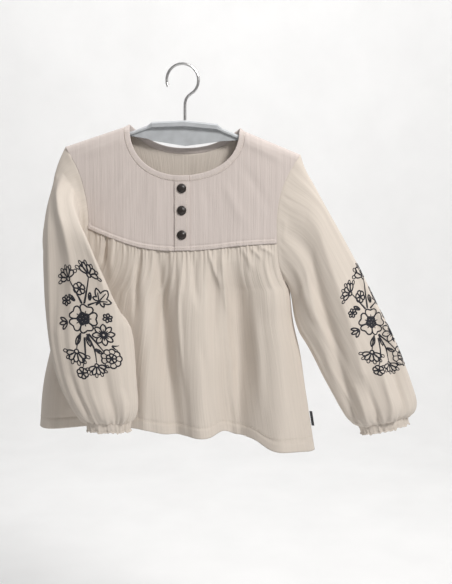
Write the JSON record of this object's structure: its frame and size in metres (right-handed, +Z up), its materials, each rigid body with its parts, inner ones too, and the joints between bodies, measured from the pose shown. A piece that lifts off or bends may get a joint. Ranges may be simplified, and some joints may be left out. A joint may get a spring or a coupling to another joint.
{
  "type": "blouse on a hanger",
  "caption": "Child's long-sleeved peasant blouse with a buttoned yoke, gathered front, full sleeves and narrow elastic cuffs, hanging on a moulded hanger.",
  "frame": {"origin": "highest point inside the hanger's hook, where a rail carries it", "axes": "+X to the viewer's right, the front of the blouse faces -Y, +Z up"},
  "size_m": [0.4765, 0.1135, 0.4833],
  "materials": {
    "crinkle_cotton": "matt fine vertical crinkle",
    "cotton_trim": "matt fine crinkle",
    "dark_cap": "satin dark",
    "tab_ribbon": "bare woven ribbon",
    "pale_plastic": "satin moulded",
    "hook_steel": "plated wire"
  },
  "bodies": {
    "root": {"front_yoke_left": "crinkle_cotton", "front_yoke_right": "crinkle_cotton", "front_body": "crinkle_cotton", "back": "crinkle_cotton", "sleeve_left": "crinkle_cotton", "sleeve_right": "crinkle_cotton", "cuff_left": "cotton_trim", "cuff_right": "cotton_trim", "neck_binding": "cotton_trim", "placket": "cotton_trim", "button_1": "dark_cap", "button_2": "dark_cap", "button_3": "dark_cap", "side_label": "tab_ribbon", "hanger_body": "pale_plastic", "hanger_hook": "hook_steel"}
  },
  "joints": []
}
